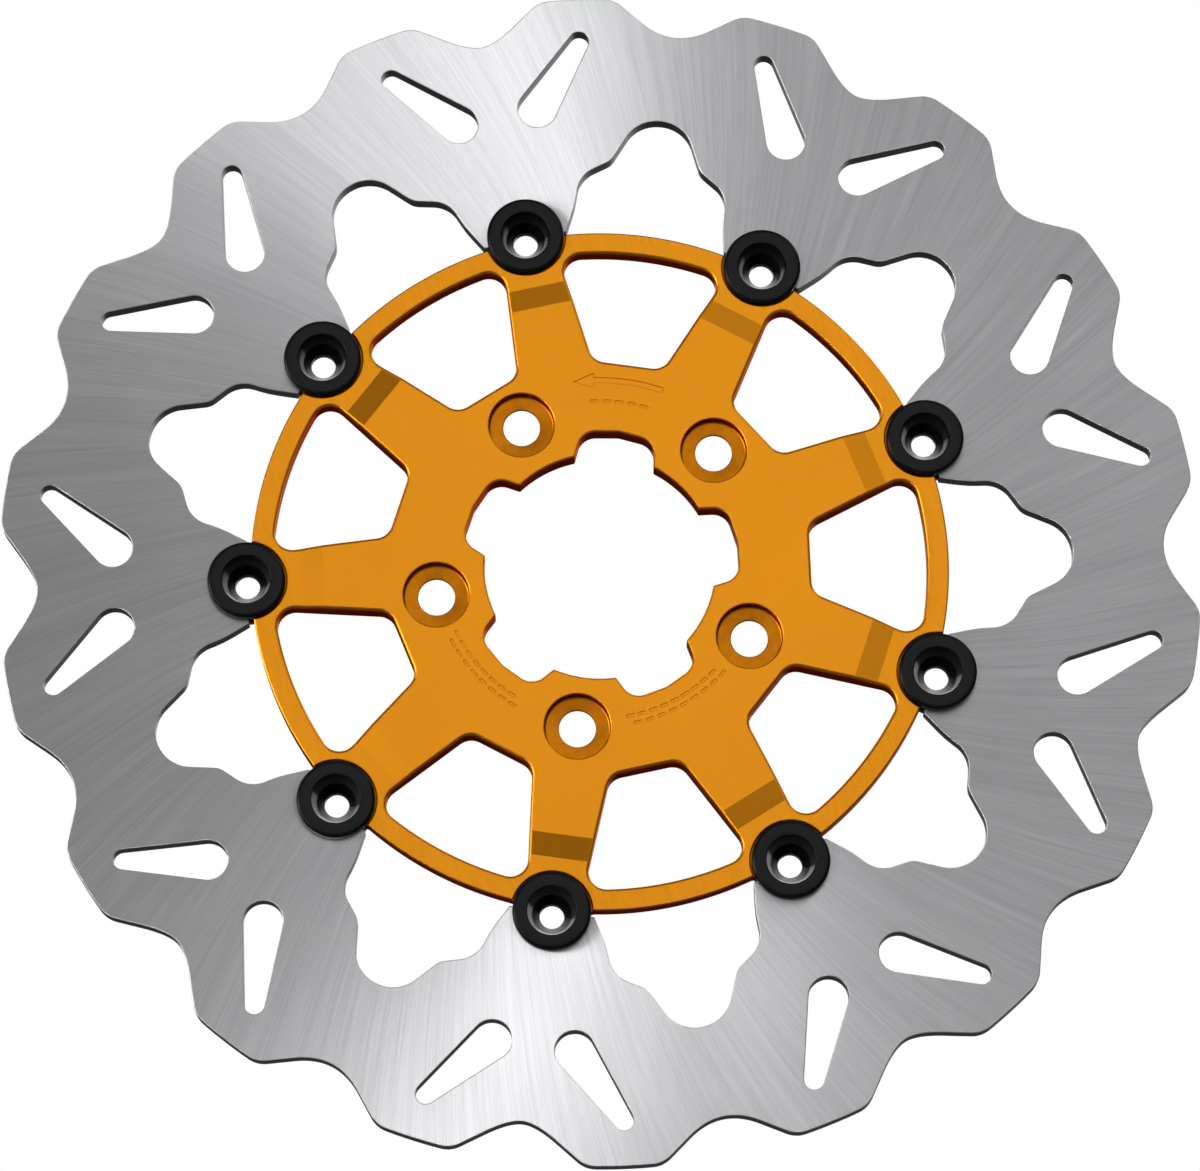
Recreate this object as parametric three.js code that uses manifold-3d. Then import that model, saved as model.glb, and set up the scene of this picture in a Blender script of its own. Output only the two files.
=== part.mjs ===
// Floating wave brake disc for a motorcycle, 300 mm across, in millimetres, +Z up.
//
// The disc stands upright: its axis is the Y axis, and its front (wheel-outside) face looks
// towards -Y. The origin is on the axis, at the carrier's back face, where the wheel hub bolts on.
// Everything is drawn flat in x and y with the front face towards +z; the group that holds the
// parts then stands the drawing up.

import * as THREE from 'three';
import { mergeVertices } from 'three/addons/utils/BufferGeometryUtils.js';
import Module from 'manifold-3d';

const wasm = await Module();
wasm.setup();

const DEGREE = Math.PI / 180;

// ---------------------------------------------------------------- driving dimensions

// Stations: nine drive bobbins, five hub bolts, one of each straight down.
const STATION_COUNT = 9;
const STATION_PITCH = 360 / STATION_COUNT;
const BOLT_COUNT = 5;
const BOLT_PITCH = 360 / BOLT_COUNT;
const DOWN = 270;

// Levels along the axis, measured forwards from the hub face.
const HUB_FACE = 0;
const BODY_FRONT = 6.8;
const RIM_FRONT = 5.6;
const BLADE_FRONT = 3.8;
const BLADE_BACK = -1.2;
const SEAT_DEPTH = 3.0;

// Brake blade.
const BLADE_RADIUS = 150;
const STATION_VALLEY_RADIUS = 140.2;
const MIDDLE_VALLEY_RADIUS = 140.95;
const FLANK_POINT = [8.8, 143.9];
const FLANK_SLOPE = 0.667;
const LOBE_CORNER_ANGLE = 6.35;
const LOBE_CORNER_FILLET = 7;
const SCALLOP_CROWN = { x: 5.9, y: 118.2, fillet: 8.9 };
const SCALLOP_WAIST = { x: 11.35, y: 106.2, fillet: 5 };
const SCALLOP_SHOULDER = { x: 18.85, y: 101.2, fillet: 7.5 };
const SCALLOP_FLARE = { x: 18.85, y: 93.5, fillet: 30 };
const SCALLOP_MOUTH = { x: 20.1, y: 85.9, fillet: 0.5 };
const TAB_END_RADIUS = 88.2;
const SLOT_INNER = { x: 10.25, y: 121.2, radius: 4.95 };
const SLOT_OUTER = { x: 24.4, y: 136.55, radius: 2.5 };

// Carrier.
const RIM_OUTER_RADIUS = 87;
const RIM_INNER_RADIUS = 81.6;
const RAMP_TOP = 68.8;
const RAMP_FOOT = 74.5;
const PAD_RADIUS = 10.6;
const WINDOW_FLOOR = 52.5;
const WINDOW_FILLET = 4.5;
const SPOKE_HALF_WIDTH_INNER = 9.3;
const SPOKE_HALF_WIDTH_OUTER = 7.6;
const SPOKE_INNER_RADIUS = 56;
const SPOKE_OUTER_RADIUS = 75;
const BORE_RADIUS = 28.7;
const BORE_NOTCH_RADIUS = 34.9;
const BORE_NOTCH_TOP = [9.1, 33.7];
const BORE_NOTCH_MOUTH = [9.95, 26.92];
const BOLT_CIRCLE_RADIUS = 82.55 / 2;
const BOLT_HOLE_RADIUS = 4.6;
const BOLT_SEAT_RADIUS = 8.2;
const BOLT_LAND = 0.6;
const BOLT_FLARE_RADIUS = 5.8;

// Drive bobbins and the washers and clip behind them.
const BOBBIN_CIRCLE_RADIUS = 88;
const POCKET_RADIUS = 7.2;
const BARREL_RADIUS = 6.9;
const FLANGE_RADIUS = 9.7;
const FLANGE_FRONT = 7.0;
const FLANGE_EDGE = 0.6;
const FUNNEL_MOUTH_RADIUS = 6.1;
const FUNNEL_THROAT = { radius: 4.9, depth: 5.2 };
const FUNNEL_DEPTH = 8.2;
const BOBBIN_BORE_RADIUS = 3.05;
const BOBBIN_BACK = -4.5;
const BOBBIN_BORE_FLARE = 0.8;

// Clearances between neighbouring pieces, and how far a cutting block runs on past a face.
const GAP = 0.3;
const STACK_GAP = 0.15;
const SPARE = 1;

// Washers and clip behind each bobbin.
const GROOVE_RADIUS = 6.1;
const FLAT_WASHER = { inner: 7.2, outer: 9.6, thickness: 0.5 };
const WAVE_WASHER = { inner: 7.3, outer: 9.3, thickness: 0.3, amplitude: 0.25, waves: 3 };
const CLIP = { inner: 6.4, outer: 8.6, thickness: 0.8, lugRadius: 1.8, lugAngle: 22 };

// ---------------------------------------------------------------- colours

const STEEL = { color: 0xa9a9ac, roughness: 0.32, metalness: 1 };
const GOLD_ANODISE = { color: 0xdf8f1c, roughness: 0.38, metalness: 0.85 };
const BLACK_ANODISE = { color: 0x0b0b0d, roughness: 0.22, metalness: 0.4 };
const WASHER_STEEL = { color: 0x8d8f92, roughness: 0.35, metalness: 1 };
const SPRING_STEEL = { color: 0x5d6066, roughness: 0.4, metalness: 1 };
const CLIP_STEEL = { color: 0x26272a, roughness: 0.45, metalness: 0.9 };

// ---------------------------------------------------------------- outline helpers

// A point given with +y pointing outwards, turned so that outwards points at `angle` degrees.
function turned(point, angle) {
  return point.clone().rotateAround(new THREE.Vector2(), (angle - 90) * DEGREE);
}

// The point at a radius and at an angle clockwise of +y, in degrees.
function polar(radius, angle) {
  return new THREE.Vector2(radius * Math.sin(angle * DEGREE), radius * Math.cos(angle * DEGREE));
}

// Points on an arc round a centre, from one angle to another in degrees, both ends included.
function arcPoints(centre, radius, from, to, step) {
  const count = Math.max(1, Math.ceil(Math.abs(to - from) / step));
  return Array.from({ length: count + 1 }, (_, i) => {
    const angle = (from + ((to - from) * i) / count) * DEGREE;
    return new THREE.Vector2(centre.x + radius * Math.cos(angle), centre.y + radius * Math.sin(angle));
  });
}

// An open run of corners [x, y, fillet radius] with each filleted corner turned into an arc.
function filleted(corners, step = 19) {
  const points = corners.map(([x, y]) => new THREE.Vector2(x, y));
  const out = [];
  corners.forEach(([, , radius], i) => {
    const here = points[i];
    if (!radius) {
      out.push(here);
      return;
    }
    const back = points[i - 1].clone().sub(here).normalize();
    const ahead = points[i + 1].clone().sub(here).normalize();
    const half = Math.acos(back.dot(ahead)) / 2;
    const centre = back.clone().add(ahead).normalize().multiplyScalar(radius / Math.sin(half)).add(here);
    const start = back.multiplyScalar(radius / Math.tan(half)).add(here).sub(centre);
    const end = ahead.multiplyScalar(radius / Math.tan(half)).add(here).sub(centre);
    const from = start.angle() / DEGREE;
    let sweep = end.angle() / DEGREE - from;
    if (sweep > 180) sweep -= 360;
    if (sweep < -180) sweep += 360;
    out.push(...arcPoints(centre, radius, from, from + sweep, step));
  });
  return out;
}

// A half outline drawn from its mirror line towards +x, joined to its own mirror image.
function mirrored(half) {
  const startsOnMirror = Math.abs(half[0].x) < 1e-9;
  const left = half.slice(startsOnMirror ? 1 : 0).reverse();
  return [...left.map((point) => new THREE.Vector2(-point.x, point.y)), ...half];
}

// A flat plate between two levels, with holes; its outline is drawn counter-clockwise.
function plate(outline, holes, back, front) {
  const loop = THREE.ShapeUtils.isClockWise(outline) ? outline.toReversed() : outline;
  const shape = new THREE.Shape(loop);
  shape.holes = holes.map((hole) => new THREE.Path(hole));
  const geometry = new THREE.ExtrudeGeometry(shape, { depth: front - back, bevelEnabled: false });
  return geometry.translate(0, 0, back);
}

// A ring turned round the z axis from a closed profile of [radius, height along z] points.
function turnedRing(profile, segments) {
  const points = [...profile, profile[0]].map(([radius, height]) => new THREE.Vector2(radius, height));
  return new THREE.LatheGeometry(points, segments).rotateX(Math.PI / 2);
}

function solidOf(geometry) {
  const bare = geometry.clone();
  bare.deleteAttribute('normal');
  bare.deleteAttribute('uv');
  const merged = mergeVertices(bare, 1e-4);
  const vertProperties = new Float32Array(merged.attributes.position.array);
  const triVerts = new Uint32Array(merged.index.array);
  return new wasm.Manifold(new wasm.Mesh({ numProp: 3, vertProperties, triVerts }));
}

function geometryOf(solid) {
  const mesh = solid.getMesh();
  const geometry = new THREE.BufferGeometry();
  geometry.setAttribute('position', new THREE.BufferAttribute(mesh.vertProperties, 3));
  geometry.setIndex(new THREE.BufferAttribute(mesh.triVerts, 1));
  return geometry;
}

function namedMesh(name, geometry, finish) {
  const mesh = new THREE.Mesh(geometry, new THREE.MeshStandardMaterial(finish));
  mesh.name = name;
  return mesh;
}

// ---------------------------------------------------------------- brake blade

// Half of an outer valley, from its bottom on the mirror line to the middle of the next lobe.
function valleyHalf(bottomRadius) {
  const [flankX, flankY] = FLANK_POINT;
  const bend = flankX - (flankY - bottomRadius) / FLANK_SLOPE;
  const curve = new THREE.QuadraticBezierCurve(
    new THREE.Vector2(0, bottomRadius),
    new THREE.Vector2(bend, bottomRadius),
    new THREE.Vector2(flankX, flankY),
  );
  const corner = polar(BLADE_RADIUS, LOBE_CORNER_ANGLE);
  const crown = [8.2, 10].map((angle) => polar(BLADE_RADIUS, angle));
  const shoulder = filleted([
    [flankX, flankY, 0],
    [corner.x, corner.y, LOBE_CORNER_FILLET],
    [crown[0].x, crown[0].y, 0],
  ]);
  return [...curve.getPoints(4), ...shoulder.slice(1), crown[1]];
}

function bladeOuterOutline() {
  const outline = [];
  for (let i = 0; i < 2 * STATION_COUNT; i++) {
    const bottomRadius = i % 2 === 0 ? STATION_VALLEY_RADIUS : MIDDLE_VALLEY_RADIUS;
    const valley = mirrored(valleyHalf(bottomRadius)).slice(1);
    outline.push(...valley.map((point) => turned(point, DOWN - (i * STATION_PITCH) / 2)));
  }
  return outline;
}

// The angle from a station's line at which its pocket circle meets a circle round the axis.
function pocketAngle(radius) {
  const sumOfSquares = radius ** 2 + BOBBIN_CIRCLE_RADIUS ** 2 - POCKET_RADIUS ** 2;
  return Math.acos(sumOfSquares / (2 * radius * BOBBIN_CIRCLE_RADIUS)) / DEGREE;
}

// The half-round pocket at the station 20 degrees clockwise of +y, from the corner nearer +y.
function pocketArc(cornerRadius, throughOutside) {
  const halfPitch = STATION_PITCH / 2;
  const centre = polar(BOBBIN_CIRCLE_RADIUS, halfPitch);
  const first = polar(cornerRadius, halfPitch - pocketAngle(cornerRadius)).sub(centre);
  const last = polar(cornerRadius, halfPitch + pocketAngle(cornerRadius)).sub(centre);
  const from = first.angle() / DEGREE;
  let to = last.angle() / DEGREE;
  if (throughOutside) {
    if (to > from) to -= 360;
  } else if (to < from) {
    to += 360;
  }
  return arcPoints(centre, POCKET_RADIUS, from, to, 20);
}

// One inner scallop between two tabs, with the pocket of the tab clockwise of it.
function scallopHalf() {
  const tabCorner = polar(TAB_END_RADIUS, STATION_PITCH / 2 - pocketAngle(TAB_END_RADIUS));
  const corners = [SCALLOP_CROWN, SCALLOP_WAIST, SCALLOP_SHOULDER, SCALLOP_FLARE, SCALLOP_MOUTH];
  return filleted([
    [0, SCALLOP_CROWN.y, 0],
    ...corners.map(({ x, y, fillet }) => [x, y, fillet]),
    [tabCorner.x, tabCorner.y, 0],
  ]);
}

function bladeInnerOutline() {
  const period = [...mirrored(scallopHalf()), ...pocketArc(TAB_END_RADIUS, true).slice(1, -1)];
  const outline = [];
  for (let i = 0; i < STATION_COUNT; i++) {
    outline.push(...period.map((point) => turned(point, DOWN - (i + 0.5) * STATION_PITCH)));
  }
  return outline;
}

// A slot with two round ends of different radius, joined by straight flanks.
function taperedSlot(inner, outer, side) {
  const from = new THREE.Vector2(side * inner.x, inner.y);
  const to = new THREE.Vector2(side * outer.x, outer.y);
  const along = to.clone().sub(from);
  const heading = along.angle() / DEGREE;
  const flank = Math.acos((inner.radius - outer.radius) / along.length()) / DEGREE;
  return [
    ...arcPoints(from, inner.radius, heading + flank, heading + 360 - flank, 28),
    ...arcPoints(to, outer.radius, heading - flank, heading + flank, 40),
  ];
}

function bladeGeometry() {
  const holes = [bladeInnerOutline()];
  for (let i = 0; i < STATION_COUNT; i++) {
    for (const side of [-1, 1]) {
      const slot = taperedSlot(SLOT_INNER, SLOT_OUTER, side);
      holes.push(slot.map((point) => turned(point, DOWN - i * STATION_PITCH)));
    }
  }
  return plate(bladeOuterOutline(), holes, BLADE_BACK, BLADE_FRONT);
}

// ---------------------------------------------------------------- carrier

function rimOutline() {
  const edge = STATION_PITCH / 2 - pocketAngle(RIM_OUTER_RADIUS);
  const rim = arcPoints({ x: 0, y: 0 }, RIM_OUTER_RADIUS, 90 + edge, 90 - edge, 4);
  const period = [...rim, ...pocketArc(RIM_OUTER_RADIUS, false).slice(1, -1)];
  const outline = [];
  for (let i = 0; i < STATION_COUNT; i++) {
    outline.push(...period.map((point) => turned(point, DOWN - (i + 0.5) * STATION_PITCH)));
  }
  return outline;
}

// A point on a spoke's edge, in the frame of the window beside it.
function spokeEdge(alongSpoke, halfWidth) {
  const halfPitch = (STATION_PITCH / 2) * DEGREE;
  return new THREE.Vector2(
    alongSpoke * Math.sin(halfPitch) - halfWidth * Math.cos(halfPitch),
    alongSpoke * Math.cos(halfPitch) + halfWidth * Math.sin(halfPitch),
  );
}

function windowOutline() {
  const inner = spokeEdge(SPOKE_INNER_RADIUS, SPOKE_HALF_WIDTH_INNER);
  const outer = spokeEdge(SPOKE_OUTER_RADIUS, SPOKE_HALF_WIDTH_OUTER);
  const run = outer.clone().sub(inner);
  const foot = inner.clone().addScaledVector(run, (WINDOW_FLOOR - inner.y) / run.y);
  const direction = run.clone().normalize();
  const reach = outer.dot(direction);
  const rest = RIM_INNER_RADIUS ** 2 - outer.lengthSq();
  const top = outer.clone().addScaledVector(direction, Math.sqrt(reach ** 2 + rest) - reach);
  const arch = [0, 3.5, 7, 10].map((angle) => polar(RIM_INNER_RADIUS, angle));
  const half = filleted([
    ...arch.map((point) => [point.x, point.y, 0]),
    [top.x, top.y, WINDOW_FILLET],
    [foot.x, foot.y, WINDOW_FILLET],
    [0, WINDOW_FLOOR, 0],
  ]);
  return mirrored(half.slice(0, -1));
}

function boreOutline() {
  const notch = mirrored(filleted([
    [0, BORE_NOTCH_RADIUS, 0],
    [BORE_NOTCH_TOP[0], BORE_NOTCH_TOP[1], 4.6],
    [BORE_NOTCH_MOUTH[0], BORE_NOTCH_MOUTH[1], 0],
  ]));
  const mouthAngle = Math.atan2(BORE_NOTCH_MOUTH[0], BORE_NOTCH_MOUTH[1]) / DEGREE;
  const land = arcPoints({ x: 0, y: 0 }, BORE_RADIUS, 90 - mouthAngle, 90 + mouthAngle - BOLT_PITCH, 7);
  const outline = [];
  for (let i = 0; i < BOLT_COUNT; i++) {
    const centre = DOWN - (i + 0.5) * BOLT_PITCH;
    outline.push(...[...notch, ...land.slice(1, -1)].map((point) => turned(point, centre)));
  }
  return outline;
}

// A tapering block with one flat towards every station, between two levels.
function stationBlock(backApothem, frontApothem, back, front) {
  const corner = 1 / Math.cos(Math.PI / STATION_COUNT);
  const frontRadius = frontApothem * corner;
  const backRadius = backApothem * corner;
  const halfPitch = Math.PI / STATION_COUNT;
  const block = new THREE.CylinderGeometry(
    frontRadius, backRadius, front - back, STATION_COUNT, 1, false, halfPitch,
  );
  return block.rotateX(Math.PI / 2).translate(0, 0, (front + back) / 2);
}

function carrierGeometry() {
  const holes = [boreOutline()];
  for (let i = 0; i < STATION_COUNT; i++) {
    const centre = DOWN - (i + 0.5) * STATION_PITCH;
    holes.push(windowOutline().map((point) => turned(point, centre)));
  }
  const rim = rimOutline();
  const slope = (RAMP_FOOT - RAMP_TOP) / (BODY_FRONT - RIM_FRONT);
  const low = stationBlock(BLADE_RADIUS, BLADE_RADIUS, HUB_FACE - SPARE, RIM_FRONT);
  const high = stationBlock(
    RAMP_FOOT + slope * SPARE, RAMP_TOP - slope * SPARE, RIM_FRONT - SPARE, BODY_FRONT + SPARE,
  );
  const faced = solidOf(plate(rim, holes, HUB_FACE, BODY_FRONT)).intersect(solidOf(low).add(solidOf(high)));
  const padStock = solidOf(plate(rim, holes, BLADE_BACK, HUB_FACE + SPARE));
  let carrier = faced;
  for (let i = 0; i < STATION_COUNT; i++) {
    const centre = turned(new THREE.Vector2(0, BOBBIN_CIRCLE_RADIUS), DOWN + i * STATION_PITCH);
    const pad = padStock.intersect(cylinder(centre, PAD_RADIUS, BLADE_BACK - SPARE, HUB_FACE + 2 * SPARE));
    const spotFace = cylinder(centre, FLANGE_RADIUS + GAP, BLADE_FRONT, BODY_FRONT + SPARE);
    carrier = carrier.add(pad).subtract(spotFace);
  }

  for (let i = 0; i < BOLT_COUNT; i++) {
    const centre = turned(new THREE.Vector2(0, BOLT_CIRCLE_RADIUS), DOWN - i * BOLT_PITCH);
    const cutter = boltCutter().translate(centre.x, centre.y, 0);
    carrier = carrier.subtract(solidOf(cutter));
  }
  return geometryOf(carrier);
}

// A plain round solid standing on the drawing plane, between two levels.
function cylinder(centre, radius, back, front) {
  const round = new THREE.CylinderGeometry(radius, radius, front - back, 24).rotateX(Math.PI / 2);
  return solidOf(round.translate(centre.x, centre.y, (back + front) / 2));
}

// What a hub bolt's hole takes away: a flare behind, a short land, and the seat in front.
function boltCutter() {
  const floor = BODY_FRONT - SEAT_DEPTH;
  const profile = [
    [0, HUB_FACE - SPARE],
    [BOLT_FLARE_RADIUS, HUB_FACE - SPARE],
    [BOLT_FLARE_RADIUS, HUB_FACE],
    [BOLT_HOLE_RADIUS, floor - BOLT_LAND],
    [BOLT_HOLE_RADIUS, floor],
    [BOLT_SEAT_RADIUS, floor],
    [BOLT_SEAT_RADIUS, BODY_FRONT + SPARE],
    [0, BODY_FRONT + SPARE],
  ];
  const points = profile.map(([radius, height]) => new THREE.Vector2(radius, height));
  return new THREE.LatheGeometry(points, 24).rotateX(Math.PI / 2);
}

// ---------------------------------------------------------------- drive hardware

// A flanged, hollow bobbin with a deep funnel in its face and a clip groove near its back.
function bobbinGeometry() {
  const flangeBack = BLADE_FRONT + GAP;
  const grooveFront = CLIP_LEVEL + CLIP.thickness + 0.1;
  const grooveBack = CLIP_LEVEL - 0.1;
  return turnedRing([
    [BOBBIN_BORE_RADIUS, BOBBIN_BACK + BOBBIN_BORE_FLARE],
    [BOBBIN_BORE_RADIUS + BOBBIN_BORE_FLARE, BOBBIN_BACK],
    [BARREL_RADIUS, BOBBIN_BACK],
    [BARREL_RADIUS, grooveBack],
    [GROOVE_RADIUS, grooveBack],
    [GROOVE_RADIUS, grooveFront],
    [BARREL_RADIUS, grooveFront],
    [BARREL_RADIUS, flangeBack],
    [FLANGE_RADIUS, flangeBack],
    [FLANGE_RADIUS, FLANGE_FRONT - FLANGE_EDGE],
    [FLANGE_RADIUS - FLANGE_EDGE, FLANGE_FRONT],
    [FUNNEL_MOUTH_RADIUS, FLANGE_FRONT],
    [FUNNEL_THROAT.radius, FLANGE_FRONT - FUNNEL_THROAT.depth],
    [BOBBIN_BORE_RADIUS, FLANGE_FRONT - FUNNEL_DEPTH],
  ], 18);
}

function flatWasherGeometry() {
  const back = FLAT_WASHER_LEVEL;
  return turnedRing([
    [FLAT_WASHER.inner, back],
    [FLAT_WASHER.outer, back],
    [FLAT_WASHER.outer, back + FLAT_WASHER.thickness],
    [FLAT_WASHER.inner, back + FLAT_WASHER.thickness],
  ], 18);
}

function waveWasherGeometry() {
  const { inner, outer, thickness, amplitude, waves } = WAVE_WASHER;
  const geometry = turnedRing([
    [inner, WAVE_WASHER_LEVEL - thickness / 2],
    [outer, WAVE_WASHER_LEVEL - thickness / 2],
    [outer, WAVE_WASHER_LEVEL + thickness / 2],
    [inner, WAVE_WASHER_LEVEL + thickness / 2],
  ], 6 * waves);
  const position = geometry.attributes.position;
  for (let i = 0; i < position.count; i++) {
    const angle = Math.atan2(position.getY(i), position.getX(i));
    position.setZ(i, position.getZ(i) + amplitude * Math.cos(waves * angle));
  }
  return geometry;
}

// An outside circlip: a ring with an opening that points outwards and a plier lug at each end.
function clipGeometry() {
  const { inner, outer, lugRadius, lugAngle } = CLIP;
  const lugDistance = inner + lugRadius;
  const cosine = (lugDistance ** 2 + outer ** 2 - lugRadius ** 2) / (2 * lugDistance * outer);
  const shoulder = lugAngle + Math.acos(cosine) / DEGREE;
  const outside = mirrored(arcPoints({ x: 0, y: 0 }, outer, 270, 450 - shoulder, 24));
  const lug = polar(lugDistance, lugAngle);
  const lugToShoulder = polar(outer, shoulder).sub(lug);
  const lugStart = Math.atan2(lugToShoulder.y, lugToShoulder.x) / DEGREE;
  const lugEnd = 270 - lugAngle;
  const rightLug = arcPoints(lug, lugRadius, lugStart, lugEnd, 60).slice(1, -1);
  const inside = mirrored(arcPoints({ x: 0, y: 0 }, inner, 270, 450 - lugAngle, 24)).reverse();
  const leftLug = rightLug.map((point) => new THREE.Vector2(-point.x, point.y)).reverse();
  const outline = [...outside, ...rightLug, ...inside, ...leftLug];
  return plate(outline, [], CLIP_LEVEL, CLIP_LEVEL + CLIP.thickness);
}

// Levels of the hardware behind the blade, each one clearance gap behind the piece in front.
const FLAT_WASHER_LEVEL = BLADE_BACK - GAP - FLAT_WASHER.thickness;
const WAVE_HALF_HEIGHT = WAVE_WASHER.amplitude + WAVE_WASHER.thickness / 2;
const WAVE_WASHER_LEVEL = FLAT_WASHER_LEVEL - STACK_GAP - WAVE_HALF_HEIGHT;
const CLIP_LEVEL = WAVE_WASHER_LEVEL - WAVE_HALF_HEIGHT - STACK_GAP - CLIP.thickness;

// ---------------------------------------------------------------- assembly

const disc = new THREE.Group();
disc.rotation.x = Math.PI / 2;
disc.add(namedMesh('brake_blade', bladeGeometry(), STEEL));
disc.add(namedMesh('carrier', carrierGeometry(), GOLD_ANODISE));

for (let i = 0; i < STATION_COUNT; i++) {
  const number = i + 1;
  const angle = DOWN + i * STATION_PITCH;
  const centre = turned(new THREE.Vector2(0, BOBBIN_CIRCLE_RADIUS), angle);
  const station = new THREE.Group();
  station.position.set(centre.x, centre.y, 0);
  station.rotation.z = (angle - 90) * DEGREE;
  station.add(namedMesh(`drive_bobbin_${number}`, bobbinGeometry(), BLACK_ANODISE));
  station.add(namedMesh(`flat_washer_${number}`, flatWasherGeometry(), WASHER_STEEL));
  station.add(namedMesh(`wave_washer_${number}`, waveWasherGeometry(), SPRING_STEEL));
  station.add(namedMesh(`retaining_clip_${number}`, clipGeometry(), CLIP_STEEL));
  disc.add(station);
}

const assembly = new THREE.Group();
assembly.add(disc);
export default assembly;
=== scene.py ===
"""A floating wave brake disc: fine surfaces, finishes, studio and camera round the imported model."""

import math

import bpy
import numpy as np
from mathutils import Matrix, Vector
from mathutils.geometry import delaunay_2d_cdt


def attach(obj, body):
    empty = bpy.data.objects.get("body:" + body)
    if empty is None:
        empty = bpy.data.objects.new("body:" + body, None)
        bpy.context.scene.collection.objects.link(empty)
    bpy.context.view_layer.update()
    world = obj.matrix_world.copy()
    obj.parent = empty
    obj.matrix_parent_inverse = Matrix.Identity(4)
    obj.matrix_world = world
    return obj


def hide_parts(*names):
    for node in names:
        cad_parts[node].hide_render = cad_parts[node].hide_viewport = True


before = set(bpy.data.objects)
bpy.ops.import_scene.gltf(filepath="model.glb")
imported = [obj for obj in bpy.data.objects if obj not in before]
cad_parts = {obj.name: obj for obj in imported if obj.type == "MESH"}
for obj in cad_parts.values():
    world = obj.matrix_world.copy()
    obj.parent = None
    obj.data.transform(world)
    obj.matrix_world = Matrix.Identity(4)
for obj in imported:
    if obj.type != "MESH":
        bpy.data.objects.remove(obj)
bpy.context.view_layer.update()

# ---------------------------------------------------------------- camera

CAMERA_AT = Vector((0.04253, -1.44122, -0.36022))
CAMERA_AIM = Vector((0.00069, -0.0053, -0.00464))
CAMERA_ROLL = math.radians(7.684)
CAMERA_LENS = 178.42
SENSOR = 36.0


def make_camera():
    data = bpy.data.cameras.new("camera")
    data.sensor_width = SENSOR
    data.lens = CAMERA_LENS
    data.clip_start, data.clip_end = 0.01, 100.0
    cam = bpy.data.objects.new("camera", data)
    bpy.context.scene.collection.objects.link(cam)
    ahead = (CAMERA_AIM - CAMERA_AT).normalized()
    lean = Vector((-math.sin(CAMERA_ROLL), 0.0, math.cos(CAMERA_ROLL)))
    right = ahead.cross(lean).normalized()
    up = right.cross(ahead)
    cam.matrix_world = Matrix.Translation(CAMERA_AT) @ Matrix((right, up, -ahead)).transposed().to_4x4()
    bpy.context.scene.camera = cam


make_camera()

# ---------------------------------------------------------------- dimensions, in millimetres
# Drawn flat: x to the right, y up, and s the level along the axis, forwards from the hub face.

STATIONS = 9
PITCH = 360 / STATIONS
BOLTS = 5
BOLT_PITCH = 360 / BOLTS
DOWN = 270

HUB_FACE = 0.0
BODY_FRONT = 6.8
RIM_FRONT = 5.6
BLADE_FRONT = 3.8
BLADE_BACK = -1.2

BLADE_RADIUS = 150
STATION_VALLEY = 140.2
MIDDLE_VALLEY = 140.95
FLANK_POINT = (8.8, 143.9)
FLANK_SLOPE = 0.667
LOBE_CORNER_ANGLE = 6.35
LOBE_CORNER_FILLET = 7
CROWN_ANGLES = (8.2, 8.8, 9.4, 10)
# Corners with a fillet are (x, y, fillet); SLOT_INNER and SLOT_OUTER are (x, y, radius).
SCALLOP = [(5.9, 118.2, 8.9), (11.35, 106.2, 5), (18.85, 101.2, 7.5), (18.85, 93.5, 30), (20.1, 85.9, 0.5)]
TAB_END = 88.2
SLOT_INNER = (10.25, 121.2, 4.95)
SLOT_OUTER = (24.4, 136.55, 2.5)
BLADE_EDGE = 0.22

RIM_OUTER = 87.0
RIM_INNER = 81.6
RAMP_TOP = 68.8
RAMP_FOOT = 74.5
WINDOW_FLOOR = 52.5
WINDOW_FILLET = 4.5
SPOKE_INNER = (56, 9.3)
SPOKE_OUTER = (75, 7.6)
BORE = 28.7
NOTCH = 34.9
NOTCH_TOP = (9.1, 33.7, 4.6)
NOTCH_MOUTH = (9.95, 26.92, 0.5)
NOTCH_HALF_ANGLE = 22
BOLT_CIRCLE = 82.55 / 2
BOLT_HOLE = 4.6
BOLT_SEAT = 8.2
BOLT_FLARE = 5.8
BOLT_LAND = 0.3
SEAT_FILLET = 0.5
SEAT_LEVEL = 3.8

BOBBIN_CIRCLE = 88.0
POCKET = 7.2
SPOT_FACE = 10.0


# ---------------------------------------------------------------- flat outlines

def polar(radius, angle):
    """The point at a radius and an angle clockwise of +y, in degrees."""
    a = math.radians(angle)
    return np.array([radius * math.sin(a), radius * math.cos(a)])


def turned(points, angle):
    """Points drawn with +y outwards, turned so that outwards is at an angle from +x."""
    a = math.radians(angle - 90)
    c, s = math.cos(a), math.sin(a)
    return np.asarray(points) @ np.array([[c, s], [-s, c]])


def arc(centre, radius, start, end, step):
    count = max(1, math.ceil(abs(end - start) / step))
    a = np.radians(np.linspace(start, end, count + 1))
    return np.stack([centre[0] + radius * np.cos(a), centre[1] + radius * np.sin(a)], 1)


def heading(vector):
    return math.degrees(math.atan2(vector[1], vector[0]))


def unit(vector):
    return vector / np.linalg.norm(vector)


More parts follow.
